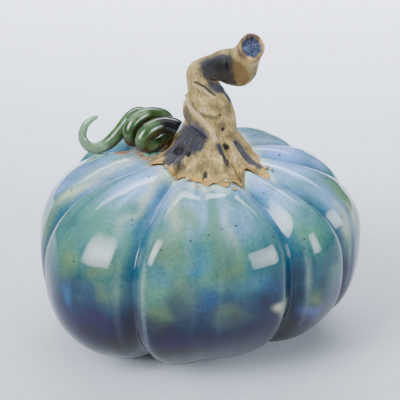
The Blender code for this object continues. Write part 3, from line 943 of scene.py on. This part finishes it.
def running_glaze():
    """Stoneware glaze, poured and fired until it ran: glassy, thick and blue where it pooled in the
    grooves, thin and cream where it broke over their lips, and purple where it gathered low down.
    Its colour darkens towards the foot, partly as painted shade."""
    finish, tree, shader = new_finish("running_glaze_on_stoneware")
    where = node(tree, "TexCoord").outputs["Object"]
    flow = node(tree, "Attribute", attribute_name="flow").outputs["Vector"]

    # Soft clouds of about 14 mm, and streaks that run down the lobes, about 5 mm wide
    clouds = node(tree, "TexNoise", {"Vector": where, "Scale": 70.0, "Detail": 3.0, "Roughness": 0.55})
    streaks = node(tree, "TexNoise", {"Vector": flow, "Scale": 200.0, "Detail": 2.0, "Roughness": 0.5})
    # Fine mottling of about 1.2 mm, from crystals in the glaze
    mottle = node(tree, "TexNoise", {"Vector": where, "Scale": 850.0, "Detail": 3.0, "Roughness": 0.6})

    height = node(tree, "SeparateXYZ", {0: where}).outputs["Z"]
    waved = node(tree, "Math", {0: clouds.outputs["Fac"], 1: 0.024, 2: height}, operation="MULTIPLY_ADD")
    waved = node(tree, "Math", {0: streaks.outputs["Fac"], 1: 0.016, 2: waved.outputs[0]},
                 operation="MULTIPLY_ADD")
    share = node(tree, "MapRange", {0: waved.outputs[0], 1: 0.020, 2: 0.096, 3: 0.0, 4: 1.0})
    # From pale blue at the crown to near-black at the foot: the glaze's own bands, with painted shade
    # darkening the lower part
    ground = node(tree, "ValToRGB", {0: share.outputs[0]}, stops=(
        (0.00, "#070505"), (0.22, "#120B0C"), (0.33, "#110819"), (0.43, "#0C1228"),
        (0.52, "#0C2438"), (0.62, "#1C3F48"), (0.72, "#284E56"), (0.81, "#386266"),
        (0.88, "#4B7684"), (0.94, "#789ACA"), (1.00, "#9CB4EC"),
    )).outputs[0]

    def cloud(name, under, colour, strength, breaking=clouds):
        drift = node(tree, "MapRange", {0: breaking.outputs["Fac"], 1: 0.30, 2: 0.62, 3: 0.55, 4: 1.15})
        held = node(tree, "Attribute", attribute_name=name)
        share = node(tree, "Math", {0: held.outputs["Fac"], 1: drift.outputs[0]}, operation="MULTIPLY")
        share = node(tree, "Math", {0: share.outputs[0], 1: strength}, operation="MULTIPLY", use_clamp=True)
        return node(tree, "Mix", {0: share.outputs[0], 6: under, 7: colour}, data_type="RGBA").outputs[2]

    loose_green = node(tree, "MapRange", {0: clouds.outputs["Fac"], 1: 0.50, 2: 0.66, 3: 0.0, 4: 0.35})
    band = node(tree, "MapRange", {0: height, 1: 0.030, 2: 0.050, 3: 0.0, 4: 1.0})
    loose_green = node(tree, "Math", {0: loose_green.outputs[0], 1: band.outputs[0]}, operation="MULTIPLY")
    loose_green = loose_green.outputs[0]
    colour = node(tree, "Mix", {0: loose_green, 6: ground, 7: "#486C50"}, data_type="RGBA").outputs[2]
    colour = cloud("lavender", colour, "#788CD6", 0.85)
    colour = cloud("indigo", colour, "#0D1E42", 0.80)
    colour = cloud("green", colour, "#427056", 0.85)
    colour = cloud("blue", colour, "#1E5488", 0.60, mottle)
    colour = cloud("yellow", colour, "#566A40", 0.75)
    colour = cloud("purple", colour, "#150A2C", 0.97)
    colour = cloud("cream", colour, "#A3A88E", 0.80)

    thin = node(tree, "ValToRGB", {0: share.outputs[0]}, stops=(
        (0.15, "#2A2A30"), (0.45, "#505C62"), (0.65, "#74887C"), (0.80, "#7E9C94"),
        (0.95, "#86A4C0"),
    )).outputs[0]
    colour = cloud("lip", colour, thin, 0.60, streaks)
    deep = node(tree, "ValToRGB", {0: share.outputs[0]}, stops=(
        (0.05, "#0A0607"), (0.36, "#06050E"), (0.46, "#050B18"), (0.58, "#08263C"),
        (0.80, "#204A62"), (0.97, "#4E7CAC"),
    )).outputs[0]
    pool = node(tree, "Attribute", attribute_name="pool").outputs["Fac"]
    pool = node(tree, "Math", {0: pool, 1: 0.85}, operation="MULTIPLY", use_clamp=True).outputs[0]
    colour = node(tree, "Mix", {0: pool, 6: colour, 7: deep}, data_type="RGBA").outputs[2]

    # Glaze thins to a pale rim round the clay skirt, and bares the body beside the tendril
    colour = cloud("skirt", colour, "#B0C6B4", 0.90, streaks)
    grain = node(tree, "ValToRGB", {0: mottle.outputs["Fac"]}, stops=((0.35, "#5E4C3A"), (0.65, "#947C62")))
    bare_clay = node(tree, "Attribute", attribute_name="unglazed").outputs["Fac"]
    broken = node(tree, "Math", {0: mottle.outputs["Fac"], 1: 0.5, 2: bare_clay}, operation="MULTIPLY_ADD")
    bared = node(tree, "MapRange", {0: broken.outputs[0], 1: 0.42, 2: 0.66, 3: 0.0, 4: 1.0})
    grain = grain.outputs[0]
    colour = node(tree, "Mix", {0: bared.outputs[0], 6: colour, 7: grain}, data_type="RGBA").outputs[2]

    # The lowest few millimetres are dry, and their colour goes to near-black brown: painted shade where the
    # body meets the floor
    dry_foot_and_shade = node(tree, "Math", {0: clouds.outputs["Fac"], 1: 0.004, 2: height}, operation="MULTIPLY_ADD")
    dry_foot_and_shade = node(tree, "MapRange", {0: dry_foot_and_shade.outputs[0], 1: 0.0070, 2: 0.0125, 3: 1.0, 4: 0.0})
    colour = node(tree, "Mix", {0: dry_foot_and_shade.outputs[0], 6: colour, 7: "#120C09"}, data_type="RGBA").outputs[2]

    # Iron specks of up to 1 mm, one to every few millimetres
    specks = node(tree, "TexVoronoi", {"Vector": where, "Scale": 400.0, "Randomness": 1.0})
    few = node(tree, "TexWhiteNoise", {0: specks.outputs["Position"]}).outputs["Value"]
    size = node(tree, "MapRange", {0: few, 1: 0.62, 2: 1.0, 3: 0.0, 4: 0.21})
    dot = node(tree, "Math", {0: size.outputs[0], 1: specks.outputs["Distance"]}, operation="SUBTRACT")
    dot = node(tree, "MapRange", {0: dot.outputs[0], 1: 0.0, 2: 0.05, 3: 0.0, 4: 0.9})
    colour = node(tree, "Mix", {0: dot.outputs[0], 6: colour, 7: "#1C221C"}, data_type="RGBA").outputs[2]

    lighter = node(tree, "MapRange", {0: mottle.outputs["Fac"], 1: 0.3, 2: 0.7, 3: 0.84, 4: 1.16})
    colour = node(tree, "VectorMath", {0: colour, 3: lighter.outputs[0]}, operation="SCALE").outputs[0]
    tree.links.new(colour, shader.inputs["Base Color"])

    dry = node(tree, "Math", {0: bared.outputs[0], 1: dry_foot_and_shade.outputs[0]}, operation="MAXIMUM")
    gloss = node(tree, "MapRange", {0: dry.outputs[0], 1: 0.0, 2: 1.0, 3: 0.08, 4: 0.85})
    tree.links.new(gloss.outputs[0], shader.inputs["Roughness"])
    # The slow, shallow waviness that poured glaze sets with, about 4 mm from crest to crest
    skin_waves = node(tree, "TexNoise", {"Vector": where, "Scale": 250.0, "Detail": 1.0})
    bump = node(tree, "Bump", {"Height": skin_waves.outputs["Fac"], "Strength": 0.5, "Distance": 0.00006})
    tree.links.new(bump.outputs[0], shader.inputs["Normal"])
    shader.inputs["IOR"].default_value = 1.43
    return finish


def bare_stoneware():
    """Unglazed buff stoneware, torn and twisted by hand, then given an oxide wash: dry and fibrous, ochre
    where it is thin at the toes, and slate blue to navy, with a rough glint, where the oxide stayed. The
    navy in the hollows is deepened with painted shade, and the furrows between the strands, the pits and
    the olive recesses are darkened with painted shade."""
    finish, tree, shader = new_finish("bare_stoneware_with_oxide_wash")
    where = node(tree, "TexCoord").outputs["Object"]
    fibres = node(tree, "Attribute", attribute_name="fibres").outputs["Vector"]
    # Torn strands about 0.5 mm wide that follow the twist, grog of about 0.4 mm, and patches of 5 mm
    strands = node(tree, "TexNoise", {"Vector": fibres, "Scale": 2100.0, "Detail": 3.0, "Roughness": 0.6})
    grog = node(tree, "TexNoise", {"Vector": where, "Scale": 2600.0, "Detail": 3.0, "Roughness": 0.65})
    patches = node(tree, "TexNoise", {"Vector": where, "Scale": 210.0, "Detail": 3.0, "Roughness": 0.55})

    colour = node(tree, "ValToRGB", {0: patches.outputs["Fac"]}, stops=(
        (0.32, "#6E5F38"), (0.44, "#9A844D"), (0.56, "#B59D60"), (0.70, "#D2BA84"),
    )).outputs[0]
    # Painted shade: darker in the furrows between the torn strands
    furrow_shade = node(tree, "MapRange", {0: strands.outputs["Fac"], 1: 0.40, 2: 0.53, 3: 0.62, 4: 0.0})
    colour = node(tree, "Mix", {0: furrow_shade.outputs[0], 6: colour, 7: "#4A3E22"}, data_type="RGBA").outputs[2]

    # The edges of the marks fray along the torn strands
    edges = node(tree, "Math", {0: strands.outputs["Fac"], 1: grog.outputs["Fac"]}, operation="ADD")
    edges = edges.outputs[0]

    def mark(name, under, colour, strength, low=0.25, high=0.70, fray=1.5):
        held = node(tree, "Attribute", attribute_name=name).outputs["Fac"]
        frayed = node(tree, "Math", {0: edges, 1: fray, 2: held}, operation="MULTIPLY_ADD")
        share = node(tree, "MapRange", {0: frayed.outputs[0], 1: low + fray, 2: high + fray, 3: 0.0,
                                                  4: strength})
        share = share.outputs[0]
        return node(tree, "Mix", {0: share, 6: under, 7: colour}, data_type="RGBA").outputs[2], share

    toe = node(tree, "Attribute", attribute_name="toe").outputs["Fac"]
    toes = node(tree, "Math", {0: patches.outputs["Fac"], 1: 2.4, 2: toe}, operation="MULTIPLY_ADD")
    toes = node(tree, "MapRange", {0: toes.outputs[0], 1: 1.70, 2: 2.20, 3: 0.0, 4: 0.9})
    colour = node(tree, "Mix", {0: toes.outputs[0], 6: colour, 7: "#B4863E"}, data_type="RGBA").outputs[2]
    colour, _ = mark("grey", colour, "#2C2620", 0.8)
    # Olive: painted shade in the recesses beside the fold and at the skirt's edge
    colour, _ = mark("olive", colour, "#3A331C", 0.75)
    slate_colour = node(tree, "ValToRGB", {0: grog.outputs["Fac"]}, stops=(
        (0.42, "#04060E"), (0.53, "#10182F"), (0.63, "#2E3A5C"), (0.76, "#B0B6C8"),
    )).outputs[0]
    colour, slate = mark("slate", colour, slate_colour, 0.97, 0.10, 0.42)
    # Navy: oxide in the hollows, deepened to near-black with painted shade
    colour, navy = mark("navy", colour, "#05060D", 0.97, 0.12, 0.45)
    # Pits: near-black painted shade inside them
    colour, _ = mark("pit", colour, "#0A0806", 0.97, 0.3, 0.7, 0.3)
    colour, _ = mark("pale", colour, "#C2B084", 0.45)
    colour, _ = mark("ochre", colour, "#5E4212", 0.85, 0.15, 0.55)
    face = node(tree, "Attribute", attribute_name="cut_face").outputs["Fac"]
    broken = node(tree, "Mix", {0: 0.55, 2: grog.outputs["Fac"], 3: patches.outputs["Fac"]})
    glints = node(tree, "ValToRGB", {0: broken.outputs[0]}, stops=(
        (0.38, "#0A0F20"), (0.48, "#28324E"), (0.58, "#5A6584"), (0.70, "#B4BACC"),
    )).outputs[0]
    colour = node(tree, "Mix", {0: face, 6: colour, 7: glints}, data_type="RGBA").outputs[2]
    rim = node(tree, "Attribute", attribute_name="cut_rim").outputs["Fac"]
    rim_colour = node(tree, "ValToRGB", {0: patches.outputs["Fac"]}, stops=(
        (0.40, "#5A4630"), (0.60, "#C09A5C"),
    )).outputs[0]
    colour = node(tree, "Mix", {0: rim, 6: colour, 7: rim_colour}, data_type="RGBA").outputs[2]
    tree.links.new(colour, shader.inputs["Base Color"])

    wet = node(tree, "Math", {0: slate, 1: navy}, operation="MAXIMUM")
    rough = node(tree, "MapRange", {0: wet.outputs[0], 1: 0.0, 2: 0.9, 3: 0.78, 4: 0.34})
    tree.links.new(rough.outputs[0], shader.inputs["Roughness"])
    shader.inputs["IOR"].default_value = 1.5
    coarse = node(tree, "Math", {0: strands.outputs["Fac"], 1: 1.4, 2: grog.outputs["Fac"]},
                  operation="MULTIPLY_ADD")
    bump = node(tree, "Bump", {"Height": coarse.outputs[0], "Strength": 1.0, "Distance": 0.00055})
    tree.links.new(bump.outputs[0], shader.inputs["Normal"])
    return finish


def green_iron_glaze():
    """A green iron glaze on rolled clay: sage where it lies thick on top, and brown on its sides and
    undersides, partly where it ran thin and partly as painted shade. It is darkened to purple-black towards
    the root and on the undersides as painted shade. It is as glossy as wet stone."""
    finish, tree, shader = new_finish("green_iron_glaze")
    where = node(tree, "TexCoord").outputs["Object"]
    facing = node(tree, "NewGeometry").outputs["Normal"]
    up = node(tree, "SeparateXYZ", {0: facing}).outputs["Z"]
    # Blotches of about 5 mm, and a fine breaking of about 1 mm
    blotches = node(tree, "TexNoise", {"Vector": where, "Scale": 190.0, "Detail": 3.0, "Roughness": 0.55})
    fine = node(tree, "TexNoise", {"Vector": where, "Scale": 1000.0, "Detail": 2.0})
    colour = node(tree, "ValToRGB", {0: blotches.outputs["Fac"]}, stops=(
        (0.30, "#1E2C14"), (0.42, "#2A4423"), (0.55, "#3A4E30"), (0.68, "#566C4E"),
    )).outputs[0]
    # How much a spot faces up, with blotches: on its sides and undersides the colour turns brown, partly
    # thin glaze and partly painted shade
    thick = node(tree, "Math", {0: blotches.outputs["Fac"], 1: 1.1, 2: up}, operation="MULTIPLY_ADD")
    under = node(tree, "MapRange", {0: thick.outputs[0], 1: 0.72, 2: 0.10, 3: 0.0, 4: 0.9})
    colour = node(tree, "Mix", {0: under.outputs[0], 6: colour, 7: "#3A2A10"}, data_type="RGBA").outputs[2]
    # Painted shade: near-black purple on the undersides
    underside_shade = node(tree, "MapRange", {0: thick.outputs[0], 1: 0.20, 2: -0.40, 3: 0.0, 4: 0.95})
    colour = node(tree, "Mix", {0: underside_shade.outputs[0], 6: colour, 7: "#0A0810"}, data_type="RGBA").outputs[2]
    along = node(tree, "Attribute", attribute_name="along").outputs["Fac"]
    # Painted shade: near-black where the tendril leaves the stem
    root = node(tree, "Math", {0: blotches.outputs["Fac"], 1: 0.05, 2: along}, operation="MULTIPLY_ADD")
    root = node(tree, "MapRange", {0: root.outputs[0], 1: 0.075, 2: 0.115, 3: 0.96, 4: 0.0})
    colour = node(tree, "Mix", {0: root.outputs[0], 6: colour, 7: "#07060C"}, data_type="RGBA").outputs[2]
    # Paler where the glaze ran down to the hooked tip and lay thick
    tip = node(tree, "MapRange", {0: along, 1: 0.70, 2: 0.95, 3: 0.0, 4: 0.6})
    colour = node(tree, "Mix", {0: tip.outputs[0], 6: colour, 7: "#7C9A7E"}, data_type="RGBA").outputs[2]
    lighter = node(tree, "MapRange", {0: fine.outputs["Fac"], 1: 0.3, 2: 0.7, 3: 0.88, 4: 1.12})
    colour = node(tree, "VectorMath", {0: colour, 3: lighter.outputs[0]}, operation="SCALE").outputs[0]
    tree.links.new(colour, shader.inputs["Base Color"])
    shader.inputs["Roughness"].default_value = 0.15
    shader.inputs["IOR"].default_value = 1.5
    shader.inputs["Coat Weight"].default_value = 0.2
    shader.inputs["Coat Roughness"].default_value = 0.04
    bump = node(tree, "Bump", {"Height": blotches.outputs["Fac"], "Strength": 0.5, "Distance": 0.0001})
    tree.links.new(bump.outputs[0], shader.inputs["Normal"])
    return finish


def set_glaze(name, thin, thick):
    """Glaze that set in a drop or a fillet: glassy and pale, over the colour of what is under it."""
    finish, tree, shader = new_finish(name)
    where = node(tree, "TexCoord").outputs["Object"]
    # Clouding of about 2 mm
    milk = node(tree, "TexNoise", {"Vector": where, "Scale": 500.0, "Detail": 3.0})
    colour = node(tree, "ValToRGB", {0: milk.outputs["Fac"]}, stops=((0.35, thin), (0.65, thick)))
    tree.links.new(colour.outputs[0], shader.inputs["Base Color"])
    shader.inputs["Roughness"].default_value = 0.06
    shader.inputs["IOR"].default_value = 1.52
    shader.inputs["Coat Weight"].default_value = 0.5
    shader.inputs["Coat Roughness"].default_value = 0.03
    return finish


def pale_floor():
    """A painted studio floor: matte and even, with only a faint roller texture."""
    finish, tree, shader = new_finish("matt_paint_on_board")
    where = node(tree, "TexCoord").outputs["Object"]
    roller = node(tree, "TexNoise", {"Vector": where, "Scale": 300.0, "Detail": 2.0})
    colour = node(tree, "ValToRGB", {0: roller.outputs["Fac"]}, stops=((0.3, "#B2B9C6"), (0.7, "#B6BDCA")))
    tree.links.new(colour.outputs[0], shader.inputs["Base Color"])
    shader.inputs["Roughness"].default_value = 0.8
    bump = node(tree, "Bump", {"Height": roller.outputs["Fac"], "Strength": 0.1, "Distance": 0.0001})
    tree.links.new(bump.outputs[0], shader.inputs["Normal"])
    return finish


def wear(piece, finish):
    """Gives a piece its finish."""
    piece.data.materials.clear()
    piece.data.materials.append(finish)


def make_studio():
    """A pale floor, two window-like soft lights in front, one overhead, one for the floor behind, and
    even light all round."""
    clear_hands()
    bpy.ops.mesh.primitive_plane_add(size=6.0)
    floor = bpy.context.active_object
    floor.name = "floor"
    wear(floor, pale_floor())

    middle = Vector((0, 0, 0.05))
    # Degrees, metres and watts. The narrow spread keeps the windows' light off the floor.
    for name, azimuth, elevation, distance, width, height, power, spread in (
        ("window_left", -47, 36, 0.70, 0.42, 0.58, 2.3, 60),
        ("window_right", 55, 15, 0.80, 0.56, 0.44, 1.5, 60),
        ("overhead", 0, 88, 1.20, 1.20, 1.20, 5.0, 180),
        ("floor_behind", 180, 50, 1.00, 1.20, 0.50, 32.0, 110),
    ):
        light = bpy.data.lights.new(name, "AREA")
        light.shape = "RECTANGLE"
        light.size, light.size_y, light.energy = width, height, power
        light.spread = math.radians(spread)
        light.color = (0.93, 0.97, 1.0)
        turn, rise = math.radians(azimuth), math.radians(elevation)
        away = Vector((math.sin(turn) * math.cos(rise), -math.cos(turn) * math.cos(rise), math.sin(rise)))
        lamp = bpy.data.objects.new(name, light)
        lamp.location = middle + away * distance
        if name == "floor_behind":
            away = Vector((0, -0.15, 1))
        lamp.rotation_euler = away.to_track_quat("Z", "Y").to_euler()
        bpy.context.scene.collection.objects.link(lamp)

    world = bpy.data.worlds.new("even_light")
    bpy.context.scene.world = world
    world.use_nodes = True
    world.node_tree.nodes["Background"].inputs[0].default_value = linear("#E4E8F0")
    world.node_tree.nodes["Background"].inputs[1].default_value = 0.26


def make_camera():
    """The photograph's view: from the front, 25 degrees above the floor, half a metre away."""
    rise = math.radians(25)
    target = Vector((0.00024, -0.00056, 0.0535))
    camera = bpy.data.cameras.new("camera")
    camera.sensor_width, camera.lens = 36, 118.9
    camera.clip_start = 0.01
    seat = bpy.data.objects.new("camera", camera)
    seat.location = target + 0.5 * Vector((0, -math.cos(rise), math.sin(rise)))
    seat.rotation_euler = (math.pi / 2 - rise, 0, 0)
    bpy.context.scene.collection.objects.link(seat)
    bpy.context.scene.camera = seat


def dress():
    """Makes every piece, gives it its finish, hides the solid that it stands for, and attaches it to the
    root body.
    """
    glaze, clay, green = running_glaze(), bare_stoneware(), green_iron_glaze()
    body, stem, tendril = make_body(), make_stem(), make_tendril()
    for piece, finish, solid, slot in (
        (body, glaze, "body", "body_glaze"),
        (stem, clay, "stem", "stem_clay"),
        (tendril, green, "tendril", "tendril_glaze"),
    ):
        wear(piece, finish)
        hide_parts(solid)
        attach(piece, "root")
    fillet_glaze = set_glaze("set_green_glaze", "#4E7468", "#86A694")
    drop_glaze = set_glaze("set_clear_glaze", "#5E4C30", "#948660")
    for piece in make_fillets():
        wear(piece, fillet_glaze)
        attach(piece, "root")
    for piece in make_drops():
        wear(piece, drop_glaze)
        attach(piece, "root")


make_camera()
make_studio()
dress()
